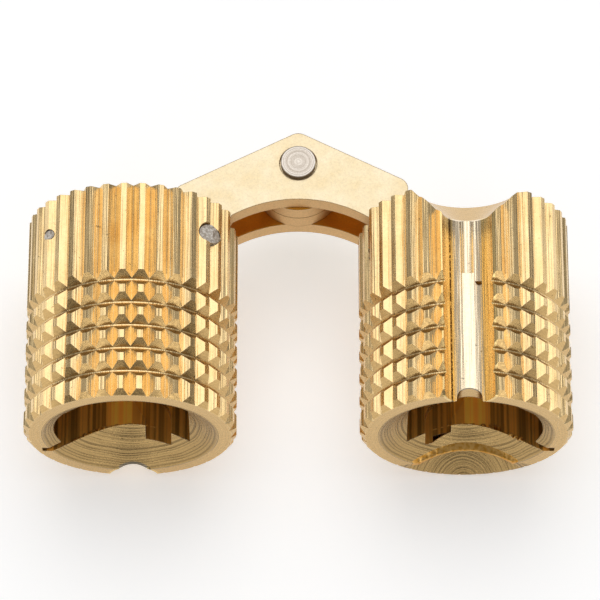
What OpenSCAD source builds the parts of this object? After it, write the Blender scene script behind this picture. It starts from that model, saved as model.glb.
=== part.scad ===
// Concealed barrel hinge: two knurled brass barrels that press into drilled holes,
// joined by a pair of crossed links that fold away inside them when the door is shut.
// It lies open on a table. X runs from barrel to barrel, Y along the barrels towards
// their mouths, Z up. The origin is under the middle of the hinge, on the table.

/* [Barrel] */
// Diameter over the knurled ridges
barrel_d = 16; // [15:0.5:18]
// Length from the mouth to the rear face
barrel_l = 17.2; // [16.8:0.1:20]
// Distance between the two barrel axes when the hinge is fully open
axis_spacing = 25.2; // [24:0.1:26]
// Bevel round the rear edge
rim_bevel = 0.4; // [0.2:0.05:0.6]
// Diameter of the drilled cone where it meets the rear face
cone_d = 13.1; // [12:0.1:14]
// Included angle of the drilled cone
cone_angle = 118; // [110:1:130]

/* [Knurl] */
// Number of lengthwise ridges round a barrel
ridge_count = 36; // [30:1:40]
// Width of the flat left on top of a ridge
ridge_flat = 0.42; // [0.3:0.02:0.6]
// Depth of the grooves between ridges
ridge_depth = 0.5; // [0.4:0.02:0.6]
// Turn of the pattern from the barrel's top, towards the other barrel
ridge_turn = 1.9; // [0:0.1:9]
// Number of rings cut round the rear half
ring_count = 5; // [3:1:5]
// Distance from the mouth to the first ring
ring_first = 7.75; // [7.4:0.05:8.2]
// Distance from ring to ring
ring_pitch = 1.85; // [1.7:0.05:2]
// Depth of a ring
ring_depth = 0.56; // [0.4:0.02:0.65]
// Width of the narrow floor of a ring
ring_floor = 0.1; // [0.06:0.02:0.2]

/* [Screw groove] */
// Diameter of the half-round groove for the clamping screw
screw_d = 3.8; // [3.4:0.1:4]
// Diameter of the countersink at the mouth
countersink_d = 8.5; // [8:0.1:9]
// Width of the narrow channel below the groove
channel_w = 1.5; // [1.2:0.1:1.8]
// How much deeper the channel is than the groove
channel_depth = 0.12; // [0.05:0.01:0.2]
// Length of the channel from the mouth
channel_l = 6.6; // [6:0.1:7]
// Width of the notch between the groove and the drilled cone, right barrel
notch_w = 1.9; // [1.5:0.1:2.2]
// Length of that notch from the rear face
notch_l = 1.25; // [1:0.05:1.5]
// Radius of the shallow crescent cut in the cone, right barrel
crescent_r = 4.65; // [4:0.05:5]
// Depth of the crescent below the cone
crescent_depth = 0.55; // [0.2:0.05:0.6]

/* [Links] */
// Thickness of one link plate
plate_t = 1.4; // [1.2:0.05:1.5]
// Free space between two plates
plate_gap = 0.03; // [0.02:0.01:0.05]
// Distance from the mouths to the centre rivet when open
centre_out = 4.25; // [4:0.05:4.5]
// Distance from the centre rivet to the straight back edges
back_offset = 2.4; // [2.3:0.05:2.5]
// Slope of the back edges
back_slope = 27; // [25:0.5:28]
// Rounding of the peak between the back edges
peak_r = 1; // [0.6:0.1:1.4]
// Radius of the arch between the barrels
arch_r = 10; // [9.5:0.1:10.5]
// Distance from the centre rivet to the crown of the arch
arch_drop = 3.06; // [2.9:0.02:3.2]
// How far the front edge of an inner plate lies behind the arch
arch_setback = 1.6; // [1.2:0.1:1.8]
// Radius of the round hub on an inner plate
hub_r = 3.28; // [3.1:0.02:3.4]
// Radius of the eye round a pivot pin
eye_r = 1.2; // [1.1:0.02:1.22]
// Radius of the eye at the tail of the long arm
tail_r = 1.6; // [1.4:0.05:1.65]
// Rounding of the outer corners
corner_r = 0.95; // [0.7:0.05:1]
// Distance from the centre rivet along the back edge to the short arm's corner
short_corner = 7.6; // [7.4:0.1:7.7]
// Distance from the centre rivet along the back edge to the long arm's corner
long_corner = 8.8; // [8.4:0.1:9]

/* [Pins] */
// Diameter of the pivot pins
pivot_d = 1.5; // [1.4:0.02:1.54]
// Distance from the barrel axis to its pivot pin
pivot_in = 5.94; // [5.9:0.02:6]
// Distance from the mouth to the pivot pin
pivot_deep = 2.84; // [2.7:0.02:3]
// Diameter of the stop pins
stop_d = 0.75; // [0.7:0.05:0.9]
// Diameter of the slider pins
slider_d = 1.76; // [1.6:0.02:1.8]
// Distance from the barrel axis to the slider pin when closed
slider_in = 2; // [1.9:0.05:2.1]
// Distance from the mouth to the slider pin when closed
slider_deep = 14.3; // [14:0.1:14.4]
// Diameter of the centre rivet's shank
rivet_d = 2; // [1.8:0.05:2.2]
// Diameter of its heads
rivet_head_d = 2.64; // [2.5:0.02:2.8]
// How far a head stands above its plate
rivet_head_h = 0.3; // [0.2:0.02:0.35]
// How far a head is let into its plate
rivet_sunk = 0.3; // [0.2:0.05:0.4]

/* [Fits] */
// Space between the two mouths when the door is shut
closed_gap = 0.2; // [0.1:0.05:0.4]
// Radial clearance of a pin that turns in a plate
running_fit = 0.03; // [0.02:0.01:0.05]
// Radial clearance of a pin that is pressed into its seat
press_fit = 0.01; // [0.005:0.005:0.02]
// Radial clearance round a pin where it comes out of the barrel
pin_mouth_fit = 0.05; // [0.04:0.01:0.08]
// Clearance between the links and the pocket they fold into
pocket_fit = 0.15; // [0.1:0.01:0.2]
// Clearance between the stack of plates and the pocket's two faces
stack_fit = 0.05; // [0.04:0.01:0.1]
// Space left between a closed link and its stop pin
stop_gap = 0.05; // [0.04:0.01:0.1]

/* [Hidden] */
$fn = 64;
brass = "#d9b36b";
plate_brass = "#efd9a6";
steel = "#b9b6b2";
over = 1;
barrel_r = barrel_d / 2;
valley_r = barrel_r - ridge_depth;
cone_depth = cone_d / 2 / tan(cone_angle / 2);
pitch_angle = 360 / ridge_count;
half_turn = 180;

// The four plates lie on each other, with the same gap between each two
stack_h = 4 * plate_t + 3 * plate_gap;
layer_step = plate_t + plate_gap;
pocket_h = stack_h + 2 * stack_fit;
track_depth = 1.1;
track_h = pocket_h + 2 * track_depth;
slider_end_gap = 0.15;

// The linkage, seen from above, in the left barrel's own frame: the axis is at x = 0,
// the mouth at y = 0, and x grows towards the other barrel
pivot = [pivot_in, -pivot_deep];
centre_open = [axis_spacing / 2, centre_out];
arm = centre_open - pivot;
arm_r = norm(arm);
open_angle = atan2(arm[1], arm[0]);
closed_angle = half_turn - asin((pivot_deep + closed_gap / 2) / arm_r);
swing = closed_angle - open_angle;
centre_ratio = (half_turn - 2 * swing) / swing;
centre_closed = pivot + arm_r * [cos(closed_angle), sin(closed_angle)];
slider_closed = [slider_in, -slider_deep];
slider_rel = turned(slider_closed - centre_closed, swing - half_turn);
stop_in = back_offset - centre_closed[0] + stop_gap + stop_d / 2;

function turned(p, a) = [p[0] * cos(a) - p[1] * sin(a), p[0] * sin(a) + p[1] * cos(a)];
function on_circle(r, a) = [r * cos(a), r * sin(a)];
function centre_at(t) = pivot + turned(arm, t * swing);
function slider_at(t) = centre_at(t) + turned(slider_rel, t * swing * (1 + centre_ratio));

// Points along an arc, and the direction of the outer tangent of two circles
function arc(c, r, a0, a1, n) = [for (i = [0:n]) c + on_circle(r, a0 + (a1 - a0) * i / n)];
function heading(a, b) = atan2(b[1] - a[1], b[0] - a[0]);
function tangent_normal(a, ra, b, rb) = heading(a, b) - acos((ra - rb) / norm(b - a));

// A link, drawn about the centre rivet with its long arm to the left
pivot_rel = pivot - centre_open;
eye_rel = [-pivot_rel[0], pivot_rel[1]];
pin_room = 0.3;
notch_r = pivot_d / 2 + pin_room;
notch_angle = heading([0, 0], pivot_rel) + 360;
notch_lead = 4;
peak_c = [0, (back_offset - peak_r) / cos(back_slope)];
short_c = turned([short_corner, back_offset - corner_r], -back_slope);
long_c = turned([-long_corner, back_offset - corner_r], back_slope);
arch_c = [0, -arch_drop - arch_r];
arch_left_share = 0.63;
arch_left = -arch_left_share * barrel_r;
arc_steps = 16;

// Where the outline's straight edges leave its round corners
long_edge = tangent_normal(long_c, corner_r, slider_rel, tail_r) + 360;
channel_end = on_circle(arm_r + notch_r, notch_angle + notch_lead);
tail_edge = tangent_normal(slider_rel, tail_r, channel_end, 0) + 360;
short_edge = tangent_normal(eye_rel, eye_r, short_c, corner_r);

function arch_height(x, r) = arch_c[1] + sqrt(r * r - x * x);
function link_points(setback) =
    let (r = arch_r + setback,
         xr = eye_rel[0] - eye_r,
         left = heading(arch_c, [arch_left, arch_height(arch_left, r)]),
         right = heading(arch_c, [xr, arch_height(xr, r)]))
    concat(
        arc(short_c, corner_r, short_edge, 90 - back_slope, arc_steps),
        arc(peak_c, peak_r, 90 - back_slope, 90 + back_slope, arc_steps),
        arc(long_c, corner_r, 90 + back_slope, long_edge, arc_steps),
        arc(slider_rel, tail_r, long_edge, tail_edge, 2 * arc_steps),
        arc([0, 0], arm_r + notch_r, notch_angle + notch_lead, notch_angle, 2),
        arc(pivot_rel, notch_r, notch_angle, notch_angle - half_turn, arc_steps),
        arc(arch_c, r, left, right, 2 * arc_steps),
        arc(eye_rel, eye_r, half_turn, 360 + short_edge, arc_steps)
    );

// Cross section of the knurled bar, with the pattern turned from the barrel's top
module knurl_outline() {
    flat_angle = asin(ridge_flat / barrel_d);
    polygon([
        for (i = [0:ridge_count - 1])
            let (a = 90 - ridge_turn - pitch_angle * i)
            each [
                on_circle(valley_r, a),
                on_circle(barrel_r, a - pitch_angle / 2 + flat_angle),
                on_circle(barrel_r, a - pitch_angle / 2 - flat_angle)
            ]
    ]);
}

// Points a shape drawn along +Z down the barrel, from the mouth to the rear
module down_barrel() {
    rotate([90, 0, 0]) children();
}

// The knurled bar with its rings and the bevel at the rear
module knurled_bar() {
    difference() {
        down_barrel() linear_extrude(barrel_l) knurl_outline();
        for (i = [0:ring_count - 1])
            down_barrel() translate([0, 0, ring_first + i * ring_pitch])
                rotate_extrude() polygon([
                    [barrel_r - ring_depth, ring_floor / 2],
                    [barrel_r + over, ring_floor / 2 + ring_depth + over],
                    [barrel_r + over, -ring_floor / 2 - ring_depth - over],
                    [barrel_r - ring_depth, -ring_floor / 2]
                ]);
        down_barrel() translate([0, 0, barrel_l])
            rotate_extrude() polygon([
                [barrel_r - rim_bevel - over, over],
                [barrel_r + over, -rim_bevel - over],
                [barrel_r + over, over]
            ]);
    }
}

// The drilled cone at the rear, its point towards the mouth
module rear_cone() {
    down_barrel() translate([0, 0, barrel_l - cone_depth])
        cylinder(h = cone_depth + over, r1 = 0, r2 = cone_d / 2 * (1 + over / cone_depth));
}

// The screw groove along the barrel's underside, its countersink and its channel
module screw_groove() {
    translate([0, 0, -barrel_r]) down_barrel() {
        translate([0, 0, -over]) cylinder(h = barrel_l + 2 * over, d = screw_d);
        translate([0, 0, -over])
            cylinder(h = countersink_d / 2 + over, r1 = countersink_d / 2 + over, r2 = 0);
    }
    translate([0, over, channel_w / 2 - barrel_r + screw_d / 2 + channel_depth - channel_w])
        down_barrel() cylinder(h = channel_l + over, d = channel_w);
}

// A rectangle in plan, cut to a height that is centred on the barrel axis
module plan_block(x0, x1, y0, y1, h) {
    translate([x0, y0, -h / 2]) cube([x1 - x0, y1 - y0, h]);
}

// A round cut in plan
module plan_round(c, r, h) {
    translate([c[0], c[1], -h / 2]) cylinder(h = h, r = r);
}

// The straight slot right through the barrel, which the long arm runs in. Its outer
// corners leave only a thin wall under the grooves of the knurl
slot_wall = 0.2;
slot_out = sqrt(valley_r * valley_r - pocket_h * pocket_h / 4) - slot_wall;
slot_in = 4.4;
module long_slot() {
    plan_block(-slot_out, slot_in, -barrel_l - over, over, pocket_h);
}

// An outline in plan, cut to a height that is centred on the barrel axis
module plan_cut(points, h) {
    translate([0, 0, -h / 2]) linear_extrude(h) polygon(points);
}

// Room beside the slot for the eye of the short arm, and the way out at the side
eye_room_r = 2.9;
eye_room_deep = 0.5;
eye_room_c = [pivot_in + eye_r + pocket_fit - eye_room_r, -pivot_deep - eye_room_deep];
side_mouth = 0.9;
module eye_room() {
    right = eye_room_c[0] + eye_room_r;
    plan_cut(concat(
        [[0, over], [barrel_r + over, over], [barrel_r + over, -side_mouth], [right, -side_mouth]],
        arc(eye_room_c, eye_room_r, 0, -90, arc_steps),
        [[0, eye_room_c[1] - eye_room_r]]
    ), pocket_h);
}

// The wider cut for the short arm, in its own two layers of the pocket
short_out = 7.2;
short_l = 7.6;
short_round = 1.4;
module short_pocket() {
    corner = [short_round - short_out, short_round - short_l];
    outline = concat(
        [[0, over], [-short_out, over]],
        arc(corner, short_round, half_turn, half_turn + 90, arc_steps / 2),
        [[0, -short_l]]
    );
    translate([0, 0, layer_step / 2]) plan_cut(outline, layer_step);
    translate([0, 0, -(pocket_h / 2 + layer_step) / 2])
        plan_cut(outline, pocket_h / 2 - layer_step);
}

// The guide track in both faces of the pocket: the slider pin's own path as the hinge
// shuts, and then straight out to the rear so that the pin can be put in. The path
// starts with a tight hook, so the inner side of the track begins a little later
track_fit = 0.1;
track_w = slider_d + 2 * track_fit;
track_steps = 12;
hook_share = 0.3;
outer_share = 0.93;
cap_angle = 110;
run_in = 0.3;
heading_step = 0.01;
function track_heading(t) = heading(slider_at(t - heading_step), slider_at(t + heading_step));
function track_side(side, from, to) = [
    for (i = [0:track_steps])
        let (t = from + (to - from) * i / track_steps)
        slider_at(t) + on_circle(track_w / 2, track_heading(t) + side * 90)
];
module guide_track() {
    cap_end = track_heading(0) - 90;
    plan_cut(concat(
        arc(slider_at(0), track_w / 2, cap_end - cap_angle, cap_end, arc_steps / 2),
        track_side(-1, 0, outer_share),
        [
            [slider_in - track_w / 2, -slider_deep - run_in],
            [slider_in - track_w / 2, -barrel_l - over],
            [slider_in + track_w / 2, -barrel_l - over],
            [slider_in + track_w / 2, -slider_deep]
        ],
        track_side(1, 1, hook_share)
    ), track_h);
}

// Room for the rivet's heads where the closed link brings them into the mouth
module rivet_room() {
    plan_round(centre_closed, rivet_head_d / 2 + 2 * pocket_fit,
        stack_h + 2 * rivet_head_h + 2 * pocket_fit);
}

// A blind hole from the barrel's top, opposite the screw groove, that ends a little way
// into the wall below the pocket
pin_seat = 0.3;
pin_foot = pocket_h / 2 + pin_seat;
module pin_hole(x, d) {
    translate([x, -pivot_deep, -pin_foot]) cylinder(h = pin_foot + barrel_r, d = d + 2 * press_fit);
    translate([x, -pivot_deep, pocket_h / 2]) cylinder(h = barrel_r, d = d + 2 * pin_mouth_fit);
}

// What the maker cut away from the right barrel alone, drawn before it is turned over
module right_cuts() {
    translate([0, -barrel_l, -barrel_r]) {
        translate([-notch_w / 2, -over, 0]) cube([notch_w, over + notch_l - notch_w / 2, barrel_r / 2]);
        translate([0, notch_l - notch_w / 2, 0]) cylinder(h = barrel_r / 2, d = notch_w);
    }
    intersection() {
        translate([0, crescent_depth, 0]) rear_cone();
        translate([0, 0, barrel_r]) down_barrel() cylinder(h = barrel_l + over, r = crescent_r);
    }
}

// One barrel in its own frame, with the screw groove underneath
module barrel(own_cuts) {
    color(brass) difference() {
        knurled_bar();
        rear_cone();
        screw_groove();
        long_slot();
        eye_room();
        short_pocket();
        guide_track();
        rivet_room();
        pin_hole(pivot_in, pivot_d);
        pin_hole(-stop_in, stop_d);
        if (own_cuts) right_cuts();
    }
}

// A pin pressed into the barrel from its top. Its end is ground off at a slant, and then
// dressed where it would stand proud of the barrel's round
pin_shy = 0.06;
pin_slant = 26;
module barrel_pin(x, d) {
    face_z = sqrt(barrel_r * barrel_r - x * x) - ridge_depth / 2;
    color(steel) difference() {
        intersection() {
            translate([x, -pivot_deep, -pin_foot]) cylinder(h = pin_foot + barrel_r, d = d);
            down_barrel() cylinder(h = barrel_l, r = barrel_r - pin_shy);
        }
        translate([x, -pivot_deep, face_z]) rotate([0, sign(x) * pin_slant, 0])
            translate([-d, -d, 0]) cube([2 * d, 2 * d, barrel_r]);
    }
}

// A plate of a link, drawn about the centre rivet: the outer plates are cut to the arch,
// and the inner ones are set back behind it with a round hub
head_fit = 0.12;
module link_plate(inner) {
    head_room = rivet_head_d / 2 + head_fit;
    color(plate_brass) difference() {
        linear_extrude(plate_t) difference() {
            union() {
                polygon(link_points(inner ? arch_setback : 0));
                if (inner) intersection() {
                    circle(r = hub_r);
                    translate([-hub_r, -hub_r]) square([2 * hub_r, hub_r]);
                }
            }
            circle(d = rivet_d + 2 * running_fit);
            translate(eye_rel) circle(d = pivot_d + 2 * running_fit);
            translate(slider_rel) circle(d = slider_d + 2 * press_fit);
        }
        if (!inner)
            translate([0, 0, plate_t - rivet_sunk]) cylinder(h = plate_t, r = head_room);
    }
}

// Places a plate of the link whose long arm lies in the left barrel, or of its twin,
// which is the same link turned over about the line between the barrels
lift = barrel_r;
back_reach = centre_out + peak_c[1] + peak_r;
mouth_y = (barrel_l - back_reach) / 2;
centre_y = mouth_y + centre_out;
module plate_at(layer, inner, turned_over) {
    translate([0, centre_y, lift])
        if (turned_over)
            rotate([0, half_turn, 0]) translate([0, 0, layer]) link_plate(inner);
        else
            translate([0, 0, layer]) link_plate(inner);
}
outer_layer = stack_h / 2 - plate_t;
inner_layer = -plate_gap / 2 - plate_t;

module at_left() {
    translate([-axis_spacing / 2, mouth_y, lift]) children();
}
module at_right() {
    translate([axis_spacing / 2, mouth_y, lift]) rotate([0, half_turn, 0]) children();
}

module barrel_left() {
    at_left() barrel(false);
}
module barrel_right() {
    at_right() barrel(true);
}
module pivot_pin_left() {
    at_left() barrel_pin(pivot_in, pivot_d);
}
module pivot_pin_right() {
    at_right() barrel_pin(pivot_in, pivot_d);
}
module stop_pin_left() {
    at_left() barrel_pin(-stop_in, stop_d);
}
module stop_pin_right() {
    at_right() barrel_pin(-stop_in, stop_d);
}

module link_a_top_plate() {
    plate_at(outer_layer, false, false);
}
module link_b_upper_plate() {
    plate_at(inner_layer, true, true);
}
module link_a_lower_plate() {
    plate_at(inner_layer, true, false);
}
module link_b_bottom_plate() {
    plate_at(outer_layer, false, true);
}

// The pin in a link's tail, whose two ends run in the barrel's guide tracks
module slider_pin() {
    slider_h = track_h - 2 * slider_end_gap;
    color(steel) translate([slider_rel[0], slider_rel[1], -slider_h / 2])
        cylinder(h = slider_h, d = slider_d);
}
module slider_pin_left() {
    translate([0, centre_y, lift]) slider_pin();
}
module slider_pin_right() {
    translate([0, centre_y, lift]) rotate([0, half_turn, 0]) slider_pin();
}

// The rivet that both links turn on, with a head let into each outer plate
module centre_rivet() {
    head_h = rivet_head_h + rivet_sunk - plate_gap;
    color(steel) translate([0, centre_y, lift]) {
        cylinder(h = stack_h, d = rivet_d, center = true);
        for (side = [0, half_turn])
            rotate([side, 0, 0])
                translate([0, 0, stack_h / 2 + rivet_head_h - head_h])
                    cylinder(h = head_h, d = rivet_head_d);
    }
}

barrel_left();
barrel_right();
pivot_pin_left();
pivot_pin_right();
stop_pin_left();
stop_pin_right();
link_a_top_plate();
link_b_upper_plate();
link_a_lower_plate();
link_b_bottom_plate();
slider_pin_left();
slider_pin_right();
centre_rivet();
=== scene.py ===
import math
import random

import bpy
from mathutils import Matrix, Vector


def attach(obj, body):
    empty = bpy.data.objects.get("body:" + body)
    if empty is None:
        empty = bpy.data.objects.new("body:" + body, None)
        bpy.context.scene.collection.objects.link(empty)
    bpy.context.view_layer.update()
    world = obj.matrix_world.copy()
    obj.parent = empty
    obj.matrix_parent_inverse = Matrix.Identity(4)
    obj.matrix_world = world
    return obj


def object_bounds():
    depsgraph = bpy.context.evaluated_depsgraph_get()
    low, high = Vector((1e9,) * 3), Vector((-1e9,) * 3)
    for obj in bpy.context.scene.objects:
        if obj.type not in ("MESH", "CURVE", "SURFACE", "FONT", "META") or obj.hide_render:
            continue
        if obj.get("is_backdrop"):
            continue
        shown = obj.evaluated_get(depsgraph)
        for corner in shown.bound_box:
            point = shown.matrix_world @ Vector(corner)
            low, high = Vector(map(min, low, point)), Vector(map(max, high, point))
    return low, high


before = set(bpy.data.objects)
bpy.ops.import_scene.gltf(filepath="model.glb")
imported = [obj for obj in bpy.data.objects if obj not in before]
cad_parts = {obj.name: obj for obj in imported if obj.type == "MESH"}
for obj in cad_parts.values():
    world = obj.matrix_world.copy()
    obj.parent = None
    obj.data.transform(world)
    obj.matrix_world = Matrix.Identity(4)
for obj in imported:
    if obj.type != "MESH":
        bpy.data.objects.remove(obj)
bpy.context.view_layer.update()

# The photographer's stand. The camera looks down at 65 degrees over the drilled ends of
# the two barrels, from 30 cm away with a long lens, and the hinge is a little left of the
# middle of the picture.
MM = 0.001
CAMERA_SPOT = Vector((0.13, -129.2, 283.5)) * MM
CAMERA_AIM = Vector((0.13, -0.78, 8.0)) * MM

stand = bpy.data.cameras.new("camera")
stand.lens = 239.8
stand.sensor_width = 36
stand.clip_start = 0.01
camera = bpy.data.objects.new("camera", stand)
camera.location = CAMERA_SPOT
camera.rotation_euler = (CAMERA_AIM - CAMERA_SPOT).to_track_quat("-Z", "Y").to_euler()
bpy.context.collection.objects.link(camera)
bpy.context.scene.camera = camera


# The two barrels, each one piece of free-cutting brass bar. The bar is knurled lengthwise
# as it is drawn, turned with five ring cuts, drilled to a cone at the rear and milled for
# the links. Flats keep the drawing streaks, the rings and the cone keep the tool marks.
# Sizes are in millimetres, as in the part's source.
BARREL_X = 12.6
BARREL_Z = 8.0
BARREL_R = 8.0
REAR_Y = -12.0106
CONE_R = 6.55
CONE_SLOPE = math.tan(math.radians(59))
VALLEY_R = 7.5
RINGS_FROM = -1.9
GROOVE_R = 1.9
POCKET_MIDDLE = 0.6
POCKET_WIDE = 2.7
EDGE_TOP = -4.68
EDGE_BEND = 0.039
EDGE_TILT = 0.035


def linear(hex_colour):
    """The linear colour of an sRGB hex value, with alpha 1."""
    parts = [int(hex_colour[i : i + 2], 16) / 255 for i in (1, 3, 5)]
    return tuple(p / 12.92 if p <= 0.04045 else ((p + 0.055) / 1.055) ** 2.4 for p in parts) + (1,)


def add(tree, kind, settings=None, out=0, **inputs):
    """Adds a node with its settings and gives back one output. An input is named, or
    numbered as _0 or _1, and takes a value or another node's output."""
    node = tree.nodes.new("ShaderNode" + kind)
    for name, value in (settings or {}).items():
        setattr(node, name, value)
    for name, value in inputs.items():
        socket = node.inputs[int(name[1:]) if name[0] == "_" else name.replace("_", " ")]
        if isinstance(value, bpy.types.NodeSocket):
            tree.links.new(value, socket)
        else:
            socket.default_value = value
    return node.outputs[out]


def new_metal(name, anisotropic=0.0):
    """A bare metal whose colour, roughness and normal are linked afterwards."""
    material = bpy.data.materials.new(name)
    material.use_nodes = True
    tree = material.node_tree
    tree.nodes.clear()
    output = tree.nodes.new("ShaderNodeOutputMaterial")
    shader = tree.nodes.new("ShaderNodeBsdfPrincipled")
    tree.links.new(shader.outputs["BSDF"], output.inputs["Surface"])
    shader.inputs["Metallic"].default_value = 1
    shader.inputs["Anisotropic"].default_value = anisotropic
    return material, tree, shader


def dress(material, *names):
    """Puts a material on CAD nodes."""
    for name in names:
        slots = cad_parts[name].data.materials
        slots.clear()
        slots.append(material)


# Free-cutting brass, CW614N, as the tools left it, bare: pale yellow, with fine lines. In the slot
# it is painted warmer and darker, a painted reflection of the brass on itself, and the paler edges
# are partly rubbed wear and partly a painted highlight. The streaks, ring marks and grain are
# drawn two or three times as coarse as real ones (about 0.05 mm), which would not show.
BRASS_PALE = "#F3D59E"
BRASS_DEEP = "#EAC588"
BRASS_CUT = "#D8B478"
BRASS_EDGE_WEAR_HIGHLIGHT = "#FAEBC4"
BRASS_FLOOR = "#FBE7C6"
BRASS_WALL = "#F2D18E"
BRASS_INNER_BOUNCE = "#EFB95C"
SHADOW_LINE_DARK = "#54370F"
STREAK_WIDTH = 0.16
STREAK_STRETCH = 80
RING_MARK = 0.12
CONE_MARK = 0.15
GRAIN_SIZE = 0.2
CLOUD_SIZE = 2.6
WANDER_SIZE = 3.0
CONE_WANDER = 0.3
STEP_WIDTH = 0.8
PIT_SIZE = 0.3
MARK_RELIEF = 0.045
SLOT_ROUGH = 0.42
GRAIN_RELIEF = 0.004
EDGE_ROUND = 0.03
FLOOR_LINE_X = -1.28
FLOOR_LINE_HALF = 0.07
FLOOR_HALF = (0.98, 1.14)
NOTCH_MIDDLE = 1.1
NOTCH_HALF = 1.0

barrel_brass, tree, shader = new_metal("brass_free_cutting_knurled", anisotropic=0.7)
place = add(tree, "TexCoord", out="Object")
millimetres = add(tree, "VectorMath", {"operation": "SCALE"}, Vector=place, Scale=1 / MM)
axes = add(tree, "SeparateXYZ", Vector=millimetres).node
side = add(tree, "Math", {"operation": "SIGN"}, _0=axes.outputs["X"])
along = axes.outputs["Y"]
across = add(tree, "Math", {"operation": "ABSOLUTE"}, _0=axes.outputs["X"])
across = add(tree, "Math", {"operation": "SUBTRACT"}, _0=across, _1=BARREL_X)
height = add(tree, "Math", {"operation": "SUBTRACT"}, _0=axes.outputs["Z"], _1=BARREL_Z)
radial = add(tree, "CombineXYZ", X=across, Z=height)
radius = add(tree, "VectorMath", {"operation": "LENGTH"}, out="Value", Vector=radial)
from_rear = add(tree, "Math", {"operation": "SUBTRACT"}, _0=along, _1=REAR_Y)

# The drilled cone: whatever lies no deeper than a little behind the drill's own surface
cone_reach = add(tree, "Math", {"operation": "SUBTRACT"}, _0=CONE_R + 0.1, _1=radius)
cone_reach = add(tree, "Math", {"operation": "DIVIDE"}, _0=cone_reach, _1=CONE_SLOPE)
in_cone = add(tree, "Math", {"operation": "LESS_THAN"}, _0=from_rear, _1=cone_reach)
edge_line = add(tree, "Math", {"operation": "MULTIPLY"}, _0=across, _1=across)
edge_line = add(tree, "Math", {"operation": "MULTIPLY_ADD"}, _0=edge_line, _1=EDGE_BEND, _2=height)
edge_line = add(
    tree, "Math", {"operation": "MULTIPLY_ADD"}, _0=across, _1=-EDGE_TILT, _2=edge_line,
)
low_reach = add(tree, "Math", {"operation": "ADD"}, _0=height, _1=BARREL_R)
low_reach = add(tree, "CombineXYZ", X=across, Z=low_reach)
low_reach = add(tree, "VectorMath", {"operation": "LENGTH"}, out="Value", Vector=low_reach)
in_crescent = add(tree, "Math", {"operation": "LESS_THAN"}, _0=edge_line, _1=EDGE_TOP)
in_crescent = add(
    tree, "Math", {"operation": "MULTIPLY", "use_clamp": True}, _0=in_crescent, _1=side,
)
at_rear = add(tree, "Math", {"operation": "LESS_THAN"}, _0=from_rear, _1=4.0)
in_crescent = add(tree, "Math", {"operation": "MULTIPLY"}, _0=in_crescent, _1=at_rear)
in_cone = add(tree, "Math", {"operation": "MAXIMUM"}, _0=in_cone, _1=in_crescent)
out_of_cone = add(tree, "Math", {"operation": "SUBTRACT"}, _0=1.0, _1=in_cone)

# The lathe's own faces look towards or away from the barrel's end
facing = add(tree, "NewGeometry", out="True Normal")
end_on = add(tree, "SeparateXYZ", out="Y", Vector=facing)
end_on = add(tree, "Math", {"operation": "ABSOLUTE"}, _0=end_on)
turned = add(
    tree, "MapRange", {"interpolation_type": "SMOOTHSTEP"}, Value=end_on, From_Min=0.25,
    From_Max=0.45,
)

# The groove for the clamping screw, on top of the right barrel and under the left one
groove_side = add(tree, "Math", {"operation": "MULTIPLY"}, _0=height, _1=side)
groove_side = add(tree, "Math", {"operation": "SUBTRACT"}, _0=groove_side, _1=BARREL_R)
groove_reach = add(tree, "CombineXYZ", X=across, Z=groove_side)
groove_reach = add(tree, "VectorMath", {"operation": "LENGTH"}, out="Value", Vector=groove_reach)
in_groove = add(tree, "Math", {"operation": "LESS_THAN"}, _0=groove_reach, _1=GROOVE_R + 0.2)
off_middle = add(tree, "Math", {"operation": "ABSOLUTE"}, _0=across)
in_wall = add(
    tree, "MapRange", {"interpolation_type": "SMOOTHSTEP"}, Value=off_middle,
    From_Min=FLOOR_HALF[0], From_Max=FLOOR_HALF[1],
)
in_wall = add(tree, "Math", {"operation": "MULTIPLY"}, _0=in_wall, _1=in_groove)

# The milled slot, pockets and tracks inside
not_groove = add(tree, "Math", {"operation": "SUBTRACT"}, _0=out_of_cone, _1=in_groove)
deep_in = add(tree, "Math", {"operation": "LESS_THAN"}, _0=radius, _1=VALLEY_R - 0.25)
side_on = add(tree, "Math", {"operation": "SUBTRACT"}, _0=1.0, _1=turned)
deep_in = add(tree, "Math", {"operation": "MULTIPLY"}, _0=deep_in, _1=side_on)
inside = add(tree, "Math", {"operation": "MULTIPLY", "use_clamp": True}, _0=deep_in, _1=not_groove)

# Drawing streaks run along the bar, tool marks round it
stretched = add(tree, "Math", {"operation": "DIVIDE"}, _0=along, _1=STREAK_STRETCH)
streak_place = add(tree, "CombineXYZ", X=across, Y=stretched, Z=height)
streaks = add(
    tree, "TexNoise", Vector=streak_place, Scale=1 / STREAK_WIDTH, Detail=2.0, Roughness=0.6,
)
ring_place = add(tree, "CombineXYZ", X=radius, Y=along)
ring_marks = add(
    tree, "TexNoise", {"noise_dimensions": "2D"}, Vector=ring_place, Scale=1 / RING_MARK,
    Detail=2.0, Roughness=0.6,
)
wander = add(tree, "TexNoise", Vector=millimetres, Scale=1 / WANDER_SIZE, Detail=1.0)
cone_round = add(tree, "MapRange", Value=in_crescent, To_Min=radius, To_Max=low_reach)
cone_place = add(
    tree, "Math", {"operation": "MULTIPLY_ADD"}, _0=wander, _1=CONE_WANDER, _2=cone_round,
)
cone_marks = add(
    tree, "TexNoise", {"noise_dimensions": "1D"}, W=cone_place, Scale=1 / CONE_MARK, Detail=2.0,
    Roughness=0.6,
)
lathe_marks = add(tree, "MapRange", Value=in_cone, To_Min=ring_marks, To_Max=cone_marks)
marks = add(tree, "MapRange", Value=turned, To_Min=streaks, To_Max=lathe_marks)
grain = add(tree, "TexNoise", Vector=millimetres, Scale=1 / GRAIN_SIZE, Detail=2.0, Roughness=0.6)
clouds = add(
    tree, "TexNoise", Vector=millimetres, Scale=1 / CLOUD_SIZE, Detail=4.0, Roughness=0.6,
    Distortion=0.4,
)
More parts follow.
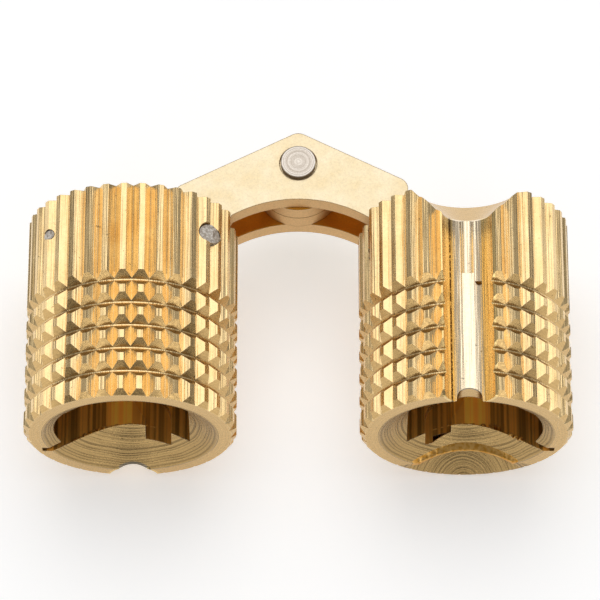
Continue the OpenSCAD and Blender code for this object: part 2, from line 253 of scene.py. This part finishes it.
cutter_steps = add(
    tree, "TexNoise", {"noise_dimensions": "1D"}, W=across, Scale=1 / STEP_WIDTH, Detail=2.0,
    Roughness=0.7,
)

# Every edge is a little rounded; its paler colour is partly rubbed wear, partly a painted
# highlight
rounded = add(tree, "Bevel", {"samples": 6}, Radius=EDGE_ROUND * MM)
straightness = add(
    tree, "VectorMath", {"operation": "DOT_PRODUCT"}, out="Value", _0=rounded, _1=facing,
)
edge = add(tree, "MapRange", Value=straightness, From_Min=0.995, From_Max=0.9)
edge = add(tree, "Math", {"operation": "MULTIPLY"}, _0=edge, _1=0.8)

tint = add(tree, "MapRange", Value=clouds, From_Min=0.35, From_Max=0.75)
colour = add(tree, "MixRGB", Fac=tint, Color1=linear(BRASS_PALE), Color2=linear(BRASS_DEEP))
colour = add(tree, "MixRGB", Fac=turned, Color1=colour, Color2=linear(BRASS_CUT))
colour = add(tree, "MixRGB", Fac=in_groove, Color1=colour, Color2=linear(BRASS_FLOOR))
colour = add(tree, "MixRGB", Fac=in_wall, Color1=colour, Color2=linear(BRASS_WALL))
# Painted reflection: inside the slot the colour turns warmer and darker, for light bounced off the
# brass itself
colour = add(tree, "MixRGB", Fac=inside, Color1=colour, Color2=linear(BRASS_INNER_BOUNCE))
colour = add(tree, "MixRGB", Fac=edge, Color1=colour, Color2=linear(BRASS_EDGE_WEAR_HIGHLIGHT))

# A dark line beside the groove's floor, a painted shadow where the ridge meets the groove's wall
shadow_line = add(
    tree, "Math", {"operation": "COMPARE"}, _0=across, _1=FLOOR_LINE_X, _2=FLOOR_LINE_HALF,
)
shadow_line = add(tree, "Math", {"operation": "MULTIPLY"}, _0=shadow_line, _1=in_groove)
shadow_line_break = add(
    tree, "MapRange", Value=grain, From_Min=0.35, From_Max=0.5, To_Min=0.35, To_Max=0.95,
)
shadow_line = add(tree, "Math", {"operation": "MULTIPLY"}, _0=shadow_line, _1=shadow_line_break)
colour = add(tree, "MixRGB", Fac=shadow_line, Color1=colour, Color2=linear(SHADOW_LINE_DARK))

# The feet of the knurl's grooves, the pits and the cutter's steps are darker. The notch gets
# painted shade, and the central recess of the slot painted light
streak_shade = add(
    tree, "MapRange", Value=streaks, From_Min=0.34, From_Max=0.46, To_Min=0.72, To_Max=1.04,
)
mark_depth = add(tree, "MapRange", Value=in_cone, To_Min=0.9, To_Max=0.42)
# The whole cone is painted darker: painted shade inside the drilled recess
cone_shade_top = add(tree, "MapRange", Value=in_cone, To_Min=1.0, To_Max=0.76)
ring_shade = add(
    tree, "MapRange", Value=lathe_marks, From_Min=0.34, From_Max=0.52, To_Min=mark_depth,
    To_Max=cone_shade_top,
)
shade = add(tree, "MapRange", Value=turned, To_Min=streak_shade, To_Max=ring_shade)
foot = add(
    tree, "MapRange", {"interpolation_type": "SMOOTHSTEP"}, Value=radius, From_Min=VALLEY_R,
    From_Max=VALLEY_R + 0.14, To_Min=0.74, To_Max=1.0,
)
ringed = add(tree, "Math", {"operation": "LESS_THAN"}, _0=along, _1=RINGS_FROM)
under_knurl = add(tree, "Math", {"operation": "LESS_THAN"}, _0=radius, _1=VALLEY_R - 0.1)
foot = add(tree, "Math", {"operation": "MAXIMUM"}, _0=foot, _1=ringed)
foot = add(tree, "Math", {"operation": "MAXIMUM"}, _0=foot, _1=under_knurl)
shade = add(tree, "Math", {"operation": "MULTIPLY"}, _0=shade, _1=foot)
pits = add(tree, "TexNoise", Vector=millimetres, Scale=1 / PIT_SIZE, Detail=2.0, Roughness=0.5)
pits = add(tree, "MapRange", Value=pits, From_Min=0.7, From_Max=0.76, To_Min=1.0, To_Max=0.4)
shade = add(tree, "Math", {"operation": "MULTIPLY"}, _0=shade, _1=pits)
# Painted shade: the notch at the groove's end is drawn dark, as if deep in shadow
in_notch = add(
    tree, "Math", {"operation": "COMPARE"}, _0=from_rear, _1=NOTCH_MIDDLE, _2=NOTCH_HALF,
)
in_notch = add(tree, "Math", {"operation": "MULTIPLY"}, _0=in_notch, _1=in_groove)
in_notch = add(tree, "Math", {"operation": "MULTIPLY"}, _0=in_notch, _1=turned)
notch_painted_shade = add(tree, "MapRange", Value=in_notch, To_Min=1.0, To_Max=0.38)
shade = add(tree, "Math", {"operation": "MULTIPLY"}, _0=shade, _1=notch_painted_shade)
steps_and_pocket_light = add(
    tree, "MapRange", Value=cutter_steps, From_Min=0.42, From_Max=0.58, To_Min=0.35, To_Max=1.0,
)
# Painted light: the central recess of the slot is drawn brighter, as if lit through the mouth
pocket_light = add(
    tree, "Math", {"operation": "COMPARE"}, _0=across, _1=POCKET_MIDDLE, _2=POCKET_WIDE / 2,
)
steps_and_pocket_light = add(tree, "Math", {"operation": "MULTIPLY_ADD"}, _0=pocket_light, _1=0.5, _2=steps_and_pocket_light)
shade = add(tree, "MapRange", Value=inside, To_Min=shade, To_Max=steps_and_pocket_light)
colour = add(tree, "VectorMath", {"operation": "SCALE"}, Vector=colour, Scale=shade)

# A bright machined surface outside, duller in the slot. The sheen lies across the marks
rough = add(tree, "MapRange", Value=grain, From_Min=0.3, From_Max=0.7, To_Min=0.22, To_Max=0.32)
rough = add(tree, "MapRange", Value=inside, To_Min=rough, To_Max=SLOT_ROUGH)
ring_depth = add(tree, "MapRange", Value=in_cone, To_Min=0.06, To_Max=1.0)
bump_depth = add(tree, "MapRange", Value=turned, To_Min=1.0, To_Max=ring_depth)
bump_depth = add(tree, "MapRange", Value=inside, To_Min=bump_depth, To_Max=0.2)
bump = add(
    tree, "Bump", Height=marks, Strength=bump_depth, Distance=MARK_RELIEF * MM, Normal=rounded,
)
bump = add(tree, "Bump", Height=grain, Strength=0.5, Distance=GRAIN_RELIEF * MM, Normal=bump)
backwards = add(tree, "Math", {"operation": "MULTIPLY"}, _0=across, _1=-1.0)
round_about = add(tree, "CombineXYZ", X=height, Z=backwards)
sheen_way = add(tree, "MixRGB", Fac=turned, Color1=(0, 1, 0, 1), Color2=round_about)
tree.links.new(colour, shader.inputs["Base Color"])
tree.links.new(rough, shader.inputs["Roughness"])
tree.links.new(bump, shader.inputs["Normal"])
tree.links.new(sheen_way, shader.inputs["Tangent"])
dress(barrel_brass, "barrel_left", "barrel_right")


# What the cutters left on the rear ends: the thin rim in front of the slot, which ends in
# a hook, the small burrs along the slot's edge in the cone, and, on the right barrel, the
# raised edge of the crescent and a curl of swarf. All are the barrels' own brass.
BRASS_BURR = "#D2943A"
BRASS_TORN = "#E9B666"
POCKET_HALF = 2.895
RIM_DEPTH = 0.5
RIM_OUT = 6.95
RIM_TOP = 2.95
RIM_END = -2.62
HOOK_LENGTH = 0.5
RIM_ROWS = 36
SUNK = 0.006
BURR_SHARES = (-1.0, -0.7, -0.25, 0.25, 0.7, 1.0)
BURR_SOLE = 0.003
BURR_RISE = 0.02
BURR_ROOT = 0.03
BURRS_LEFT = ((1.2, 4.6, 16, 0.3), (-1.6, 1.0, 6, 0.12))
BURRS_RIGHT = ((1.5, 3.0, 4, 0.75), (3.0, 4.9, 9, 0.3), (-2.4, 1.2, 7, 0.14))


def new_piece(name, points, faces, material, body):
    """A mesh piece, its points in millimetres, that rides on a body."""
    mesh = bpy.data.meshes.new(name)
    mesh.from_pydata([tuple(c * MM for c in p) for p in points], [], faces)
    mesh.update()
    piece = bpy.data.objects.new(name, mesh)
    bpy.context.collection.objects.link(piece)
    mesh.materials.append(material)
    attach(piece, body)
    return piece


def tube_faces(rows, corners):
    """The faces of a closed bar: rings of corners joined row by row, with both ends shut."""
    faces = [tuple(range(corners))[::-1], tuple((rows - 1) * corners + c for c in range(corners))]
    for r in range(rows - 1):
        for c in range(corners):
            d = (c + 1) % corners
            faces.append(
                (r * corners + c, r * corners + d, (r + 1) * corners + d, (r + 1) * corners + c),
            )
    return faces


def cone_y(x, z):
    """Where the drilled cone lies along the barrel at a place across it."""
    return REAR_Y + (CONE_R - math.hypot(x, z)) / CONE_SLOPE


def rim_hook(name, out, body):
    """The rim in front of the slot; out is -1 or 1, the way to the hinge's outside."""
    points = []
    for row in range(RIM_ROWS):
        z = RIM_END + (RIM_TOP - RIM_END) * row / (RIM_ROWS - 1)
        thin = min(1.0, (z - RIM_END + 0.02) / HOOK_LENGTH)
        thin = math.sqrt(1 - (1 - thin) ** 2)
        near = math.sqrt(CONE_R**2 - z**2)
        deep = math.sqrt((CONE_R - RIM_DEPTH * CONE_SLOPE) ** 2 - z**2)
        middle = (near + RIM_OUT) / 2
        for x, y in ((near, SUNK), (deep, RIM_DEPTH), (RIM_OUT, RIM_DEPTH), (RIM_OUT, SUNK)):
            x = middle + (x - middle) * thin
            y = RIM_DEPTH / 2 + (y - RIM_DEPTH / 2) * thin if thin < 1 else y
            points.append((out * (BARREL_X + x), REAR_Y + y, BARREL_Z + z))
    return new_piece(name, points, tube_faces(RIM_ROWS, 4), barrel_brass, body)


def burrs(name, out, body, spots, seed):
    """Torn slivers on the slot's lower edge in the cone, smeared flat over its floor. Each
    spot gives where a row starts and ends, how many slivers it has and how far they reach."""
    draw = random.Random(seed)
    points = []
    faces = []
    for start, end, count, tall in spots:
        for i in range(count):
            x = start + (end - start) * (i + draw.uniform(-0.3, 0.3)) / count
            wide = draw.uniform(0.12, 0.24)
            up = draw.uniform(0.25, 1.0) * tall
            z = -POCKET_HALF
            base = len(points)
            for share in BURR_SHARES:
                dx = wide * share
                dy = up * math.sqrt(1 - share * share)
                lift = BURR_SOLE + BURR_RISE * dy / up
                place = (BARREL_X + x + dx, cone_y(x + dx, z) + dy, BARREL_Z + z + lift)
                points.append((out * place[0], place[1], place[2]))
            root = (cone_y(x, z) + BURR_RISE, BARREL_Z + z - BURR_ROOT)
            points.append((out * (BARREL_X + x), *root))
            rim = len(BURR_SHARES)
            faces.append(tuple(range(base, base + rim)))
            faces += [(base + (k + 1) % rim, base + k, base + rim) for k in range(rim)]
    return new_piece(name, points, faces, burr_brass, body)


# Freshly torn brass: deeper gold than the turned faces, smooth and a little wavy. The
# waves are drawn coarser than real tearing marks, which would not show.
TORN_WAVE = 0.3
TORN_ROUND = 0.1
TORN_RELIEF = 0.03
TORN_ROUGH = 0.3
burr_brass, tree, shader = new_metal("brass_burr_fresh")
place = add(tree, "TexCoord", out="Object")
waves = add(tree, "TexNoise", Vector=place, Scale=1 / (TORN_WAVE * MM), Detail=2.0)
gold = add(tree, "MapRange", Value=waves, From_Min=0.35, From_Max=0.6)
gold = add(tree, "MixRGB", Fac=gold, Color1=linear(BRASS_BURR), Color2=linear(BRASS_TORN))
smooth = add(tree, "Bevel", {"samples": 6}, Radius=TORN_ROUND * MM)
bump = add(tree, "Bump", Height=waves, Strength=0.6, Distance=TORN_RELIEF * MM, Normal=smooth)
tree.links.new(gold, shader.inputs["Base Color"])
shader.inputs["Roughness"].default_value = TORN_ROUGH
tree.links.new(bump, shader.inputs["Normal"])

rim_hook("rim_hook_left", -1, "left_barrel")
rim_hook("rim_hook_right", 1, "right_barrel")
burrs("slot_burrs_left", -1, "left_barrel", BURRS_LEFT, 3)
burrs("slot_burrs_right", 1, "right_barrel", BURRS_RIGHT, 8)

# The crescent's raised edge, pushed down over the shallow cut by the last pass
CRESCENT_R = 4.65
EDGE_FROM = -3.95
EDGE_TO = 4.4
CRESCENT_DEEP = 0.6
EDGE_THIN = 0.08
EDGE_CREST = 0.28
EDGE_WIDE = 0.34
EDGE_LAP = 0.03
EDGE_SOLE = 0.003
ARC_ROWS = 70
PROFILE_CORNERS = 9
draw = random.Random(5)
points = []
for row in range(ARC_ROWS):
    share = row / (ARC_ROWS - 1)
    x = EDGE_FROM + (EDGE_TO - EDGE_FROM) * share
    low = EDGE_TOP - EDGE_BEND * x * x + EDGE_TILT * x
    cut_top = math.sqrt(max(0.0, CRESCENT_R**2 - x * x)) - BARREL_R
    top = max(cut_top + EDGE_LAP, low + 0.5)
    swell = 0.15 + 0.85 * math.sin(math.pi * share) ** 0.7
    crest = EDGE_CREST * swell * draw.uniform(0.92, 1.06)
    profile = (
        (top, EDGE_SOLE),
        (low + EDGE_WIDE, EDGE_SOLE),
        (low + 0.12, crest * 0.6),
        (low, crest),
        (low - 0.1, crest * 0.9),
        (low - EDGE_WIDE, 0.0),
        (low - 0.38, -CRESCENT_DEEP),
        (low, -EDGE_THIN),
        (top, -EDGE_THIN),
    )
    for z, lift in profile:
        y = REAR_Y + max(0.0, CONE_R - math.hypot(x, z)) / CONE_SLOPE
        points.append((BARREL_X + x, max(y - lift, REAR_Y + 0.004), BARREL_Z + z))
arc_faces = tube_faces(ARC_ROWS, PROFILE_CORNERS)
crescent = new_piece("crescent_edge", points, arc_faces, burr_brass, "right_barrel")

# The strip above its crest is the cone's own cut surface, so it has the barrel's finish
crescent.data.materials.append(barrel_brass)
for face in crescent.data.polygons[2:]:
    face.material_index = 1 if (face.index - 2) % PROFILE_CORNERS == 0 else 0

# The curl of swarf on the slot's edge, a thin ribbon rolled into a coil
CURL_ROWS = 44
CURL_R = 0.17
CURL_TURNS = 2.6
CURL_FROM = 3.35
CURL_LENGTH = 0.95
CURL_OFF = 0.03
RIBBON = ((-0.07, -0.02), (0.07, -0.02), (0.07, 0.02), (-0.07, 0.02))
points = []
for row in range(CURL_ROWS):
    share = row / (CURL_ROWS - 1)
    turn = share * 2 * math.pi * CURL_TURNS
    x = CURL_FROM + CURL_LENGTH * share
    z = -POCKET_HALF + CURL_R + CURL_OFF + CURL_R * math.sin(turn)
    y = cone_y(x, -POCKET_HALF) + CURL_OFF - CURL_R * math.cos(turn)
    for dx, dz in RIBBON:
        points.append((BARREL_X + x + dx, y, BARREL_Z + z + dz))
new_piece("swarf_curl", points, tube_faces(CURL_ROWS, len(RIBBON)), burr_brass, "right_barrel")

# The chip that stuck at the end of the groove's channel, burnt brown by the cutter
CHIP_BROWN = "#6B4516"
CHIP_ROUGH = 0.5
chip_brass, tree, shader = new_metal("brass_chip_burnt")
shader.inputs["Base Color"].default_value = linear(CHIP_BROWN)
shader.inputs["Roughness"].default_value = CHIP_ROUGH
CHIP_SPOT = Vector((BARREL_X + 0.9, -2.35, 2 * BARREL_R - 1.62))
CHIP_TOP = (
    (-0.36, 0.1, 0.08),
    (0.1, 0.14, 0.02),
    (0.4, 0.04, 0.16),
    (0.2, -0.14, 0.06),
    (-0.2, -0.1, 0.02),
)
CHIP_FOOT = (
    (-0.3, 0.06, -0.12),
    (0.1, 0.1, -0.2),
    (0.36, 0.02, -0.05),
    (0.18, -0.1, -0.16),
    (-0.16, -0.06, -0.2),
)
points = []
for corner in CHIP_TOP + CHIP_FOOT:
    points.append(CHIP_SPOT + Vector(corner))
new_piece("channel_chip", points, tube_faces(2, len(CHIP_TOP)), chip_brass, "right_barrel")


# Pins of drawn silver steel, pressed in from the outside. Their ends are cut off and
# brushed, which leaves them a mottled, slightly warm grey. The paler rounded rim is a painted
# highlight.
STEEL_GREY = "#FBF7F1"
STEEL_WARM = "#C4B8A9"
STEEL_RIM_HIGHLIGHT = "#F2EEE8"
PIN_MOTTLE = 0.2
PIN_ROUND = 0.07
PIN_RELIEF = 0.06
pin_steel, tree, shader = new_metal("steel_silver_cut_off")
place = add(tree, "TexCoord", out="Object")
millimetres = add(tree, "VectorMath", {"operation": "SCALE"}, Vector=place, Scale=1 / MM)
mottle = add(tree, "TexNoise", Vector=millimetres, Scale=1 / PIN_MOTTLE, Detail=3.0, Roughness=0.7)
share = add(tree, "MapRange", Value=mottle, From_Min=0.4, From_Max=0.6)
rounded = add(tree, "Bevel", {"samples": 6}, Radius=PIN_ROUND * MM)
facing = add(tree, "NewGeometry", out="True Normal")
straightness = add(
    tree, "VectorMath", {"operation": "DOT_PRODUCT"}, out="Value", _0=rounded, _1=facing,
)
edge = add(tree, "MapRange", Value=straightness, From_Min=0.99, From_Max=0.85)
colour = add(tree, "MixRGB", Fac=share, Color1=linear(STEEL_WARM), Color2=linear(STEEL_GREY))
# Painted highlight: the rounded rim is drawn paler
colour = add(tree, "MixRGB", Fac=edge, Color1=colour, Color2=linear(STEEL_RIM_HIGHLIGHT))
rough = add(tree, "MapRange", Value=mottle, From_Min=0.3, From_Max=0.7, To_Min=0.6, To_Max=0.8)
bump = add(tree, "Bump", Height=mottle, Strength=0.8, Distance=PIN_RELIEF * MM, Normal=rounded)
tree.links.new(colour, shader.inputs["Base Color"])
tree.links.new(rough, shader.inputs["Roughness"])
tree.links.new(bump, shader.inputs["Normal"])
dress(pin_steel, "pivot_pin_left", "pivot_pin_right", "stop_pin_left", "stop_pin_right")
dress(pin_steel, "slider_pin_left", "slider_pin_right")


# The four link plates, blanked from hard brass strip and tumbled, and threaded on their
# pins. The rolled faces are smooth and pale, with a fine matt grain drawn coarser than
# real. The sheared edges are dull tan. The rounded edges carry a dark line of painted shade,
# and the inner faces a warm painted reflection of each other.
STRIP_FACE = "#E9D9B8"
STRIP_CLOUD = "#E2CDA4"
STRIP_INNER_BOUNCE = "#F2B24A"
STRIP_EDGE = "#F0CE9A"
STRIP_EDGE_SHADE = "#93622A"
STRIP_GRAIN = 0.14
STRIP_CLOUDS = 1.8
STRIP_ROUND = 0.1
STRIP_RELIEF = 0.03
TOP_PLATE_Z = 9.55
ARCH_Y = 3.5
ARCH_REACH = 7.0
ARCH_FADE = 1.5
plate_brass, tree, shader = new_metal("brass_strip_blanked")
place = add(tree, "TexCoord", out="Object")
millimetres = add(tree, "VectorMath", {"operation": "SCALE"}, Vector=place, Scale=1 / MM)
facing = add(tree, "NewGeometry", out="True Normal")
flatness = add(tree, "SeparateXYZ", out="Z", Vector=facing)
flatness = add(tree, "Math", {"operation": "ABSOLUTE"}, _0=flatness)
sheared = add(tree, "Math", {"operation": "LESS_THAN"}, _0=flatness, _1=0.5)
grain = add(tree, "TexNoise", Vector=millimetres, Scale=1 / STRIP_GRAIN, Detail=5.0, Roughness=0.8)
clouds = add(
    tree, "TexNoise", Vector=millimetres, Scale=1 / STRIP_CLOUDS, Detail=3.0, Roughness=0.6,
)
tint = add(tree, "MapRange", Value=clouds, From_Min=0.35, From_Max=0.7)
rounded = add(tree, "Bevel", {"samples": 6}, Radius=STRIP_ROUND * MM)
straightness = add(
    tree, "VectorMath", {"operation": "DOT_PRODUCT"}, out="Value", _0=rounded, _1=facing,
)
edge = add(tree, "MapRange", Value=straightness, From_Min=0.99, From_Max=0.88)
colour = add(tree, "MixRGB", Fac=tint, Color1=linear(STRIP_FACE), Color2=linear(STRIP_CLOUD))
# Painted reflection: the plates' inner faces under the arch are drawn warm orange, as if lit by
# each other
level = add(tree, "SeparateXYZ", out="Z", Vector=millimetres)
bounce_between = add(
    tree, "Math", {"operation": "COMPARE"}, _0=level, _1=BARREL_Z, _2=TOP_PLATE_Z - BARREL_Z,
)
under_arch = add(
    tree, "VectorMath", {"operation": "SUBTRACT"}, _0=millimetres, _1=(0, ARCH_Y, BARREL_Z),
)
under_arch = add(tree, "VectorMath", {"operation": "LENGTH"}, out="Value", Vector=under_arch)
under_arch = add(
    tree, "MapRange", {"interpolation_type": "SMOOTHSTEP"}, Value=under_arch, From_Min=ARCH_REACH,
    From_Max=ARCH_REACH - ARCH_FADE,
)
bounce_between = add(tree, "Math", {"operation": "MULTIPLY"}, _0=bounce_between, _1=under_arch)
colour = add(tree, "MixRGB", Fac=bounce_between, Color1=colour, Color2=linear(STRIP_INNER_BOUNCE))
colour = add(tree, "MixRGB", Fac=sheared, Color1=colour, Color2=linear(STRIP_EDGE))
# Painted shade: a dark brown line along the rounded edges
colour = add(tree, "MixRGB", Fac=edge, Color1=colour, Color2=linear(STRIP_EDGE_SHADE))
speckle = add(tree, "MapRange", Value=grain, From_Min=0.35, From_Max=0.6, To_Min=0.84, To_Max=1.0)
colour = add(tree, "VectorMath", {"operation": "SCALE"}, Vector=colour, Scale=speckle)
rough = add(tree, "MapRange", Value=sheared, To_Min=0.36, To_Max=0.6)
bump_depth = add(tree, "MapRange", Value=sheared, To_Min=0.4, To_Max=1.0)
bump = add(
    tree, "Bump", Height=grain, Strength=bump_depth, Distance=STRIP_RELIEF * MM, Normal=rounded,
)
tree.links.new(colour, shader.inputs["Base Color"])
tree.links.new(rough, shader.inputs["Roughness"])
tree.links.new(bump, shader.inputs["Normal"])
dress(
    plate_brass, "link_a_top_plate", "link_a_lower_plate", "link_b_upper_plate",
    "link_b_bottom_plate",
)


# The centre rivet, turned from steel and let into the outer plates. Its heads were faced
# on the lathe, so they have fine rings round the middle and a rounded rim.
RIVET_Y = 9.4394
RIVET_DULL = "#B5A797"
RIVET_BRIGHT = "#F0E8DE"
RIVET_RING = 0.16
RIVET_MOTTLE = 0.12
RIVET_ROUND = 0.14
RIVET_RELIEF = 0.03
RIVET_ROUGH = 0.42
rivet_steel, tree, shader = new_metal("steel_rivet_faced", anisotropic=0.4)
place = add(tree, "TexCoord", out="Object")
millimetres = add(tree, "VectorMath", {"operation": "SCALE"}, Vector=place, Scale=1 / MM)
centred = add(tree, "VectorMath", {"operation": "SUBTRACT"}, _0=millimetres, _1=(0, RIVET_Y, 0))
flat = add(tree, "VectorMath", {"operation": "MULTIPLY"}, _0=centred, _1=(1, 1, 0))
radius = add(tree, "VectorMath", {"operation": "LENGTH"}, out="Value", Vector=flat)
rings = add(
    tree, "TexNoise", {"noise_dimensions": "1D"}, W=radius, Scale=1 / RIVET_RING, Detail=3.0,
    Roughness=0.7,
)
mottle = add(
    tree, "TexNoise", Vector=millimetres, Scale=1 / RIVET_MOTTLE, Detail=4.0, Roughness=0.8,
)
marks = add(tree, "Math", {"operation": "MULTIPLY_ADD"}, _0=mottle, _1=0.5, _2=rings)
shade = add(tree, "MapRange", Value=marks, From_Min=0.6, From_Max=0.95)
rounded = add(tree, "Bevel", {"samples": 6}, Radius=RIVET_ROUND * MM)
colour = add(tree, "MixRGB", Fac=shade, Color1=linear(RIVET_DULL), Color2=linear(RIVET_BRIGHT))
bump = add(tree, "Bump", Height=marks, Strength=0.6, Distance=RIVET_RELIEF * MM, Normal=rounded)
tree.links.new(colour, shader.inputs["Base Color"])
shader.inputs["Roughness"].default_value = RIVET_ROUGH
tree.links.new(bump, shader.inputs["Normal"])
tree.links.new(flat, shader.inputs["Tangent"])
dress(rivet_steel, "centre_rivet")


# The white table and the light tent: a matt white sheet, one large softbox overhead, and
# two small ones low in front, which draw the bright sectors in the drilled cones.
TABLE_REACH = 1.5
TABLE_FRONT = 0.13
TABLE_GLOW = 0.41
TABLE_WHITE = "#F3F3F3"
TENT_LEAN = (0.0, 0.3, 0.95)
TENT_SIDES = 0.14
TENT_TOP = 0.5

sheet = bpy.data.meshes.new("table")
corners = [
    (-TABLE_REACH, -TABLE_FRONT, 0),
    (TABLE_REACH, -TABLE_FRONT, 0),
    (TABLE_REACH, TABLE_REACH, 0),
    (-TABLE_REACH, TABLE_REACH, 0),
]
sheet.from_pydata(corners, [], [(0, 1, 2, 3)])
floor = bpy.data.objects.new("table", sheet)
bpy.context.collection.objects.link(floor)
table_white = bpy.data.materials.new("paper_matt_white")
table_white.use_nodes = True
tree = table_white.node_tree
tree.nodes.clear()
output = tree.nodes.new("ShaderNodeOutputMaterial")
paper = add(tree, "BsdfDiffuse", Color=linear(TABLE_WHITE))
rays = add(tree, "LightPath").node
seen = add(
    tree, "Math", {"operation": "MAXIMUM"}, _0=rays.outputs["Is Camera Ray"],
    _1=rays.outputs["Is Glossy Ray"],
)
seen = add(tree, "Math", {"operation": "MAXIMUM"}, _0=seen, _1=rays.outputs["Is Transmission Ray"])
seen = add(tree, "Math", {"operation": "MULTIPLY"}, _0=seen, _1=TABLE_GLOW)
glow = add(tree, "Emission", Color=(1, 1, 1, 1), Strength=seen)
tree.links.new(add(tree, "AddShader", _0=paper, _1=glow), output.inputs["Surface"])
sheet.materials.append(table_white)
floor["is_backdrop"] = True

world = bpy.data.worlds.new("light_tent")
bpy.context.scene.world = world
world.use_nodes = True
tree = world.node_tree
tree.nodes.clear()
output = tree.nodes.new("ShaderNodeOutputWorld")
way = add(tree, "TexCoord", out="Generated")
lean = add(tree, "VectorMath", {"operation": "DOT_PRODUCT"}, out="Value", _0=way, _1=TENT_LEAN)
tent = add(
    tree, "MapRange", {"interpolation_type": "SMOOTHSTEP"}, Value=lean, From_Min=0.1,
    From_Max=0.95, To_Min=TENT_SIDES, To_Max=TENT_TOP,
)
rays = add(tree, "LightPath").node
seen = add(
    tree, "Math", {"operation": "MAXIMUM"}, _0=rays.outputs["Is Camera Ray"],
    _1=rays.outputs["Is Transmission Ray"],
)
strength = add(tree, "MapRange", Value=seen, To_Min=tent, To_Max=1.0)
tree.links.new(
    add(tree, "Background", Color=(1, 1, 1, 1), Strength=strength), output.inputs["Surface"],
)

SOFTBOXES = (
    ("softbox_above", (0.0, 0.16, 0.42), 0.50, 0.44, 0.74),
    ("softbox_left", (-0.36, 0.02, 0.16), 0.12, 0.30, 0.04),
    ("softbox_right", (0.36, 0.02, 0.16), 0.12, 0.30, 0.04),
    ("softbox_front_left", (-0.19, -0.36, 0.13), 0.10, 0.18, 0.12),
    ("softbox_front_right", (0.19, -0.36, 0.13), 0.10, 0.18, 0.12),
)
for name, spot, width, depth, power in SOFTBOXES:
    lamp = bpy.data.lights.new(name, "AREA")
    lamp.shape = "RECTANGLE"
    lamp.size = width
    lamp.size_y = depth
    lamp.energy = power
    box = bpy.data.objects.new(name, lamp)
    box.location = spot
    towards = Vector((0, 0, BARREL_Z * MM)) - Vector(spot)
    box.rotation_euler = towards.to_track_quat("-Z", "Y").to_euler()
    bpy.context.collection.objects.link(box)

bpy.context.scene.view_settings.view_transform = "Standard"

low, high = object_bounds()
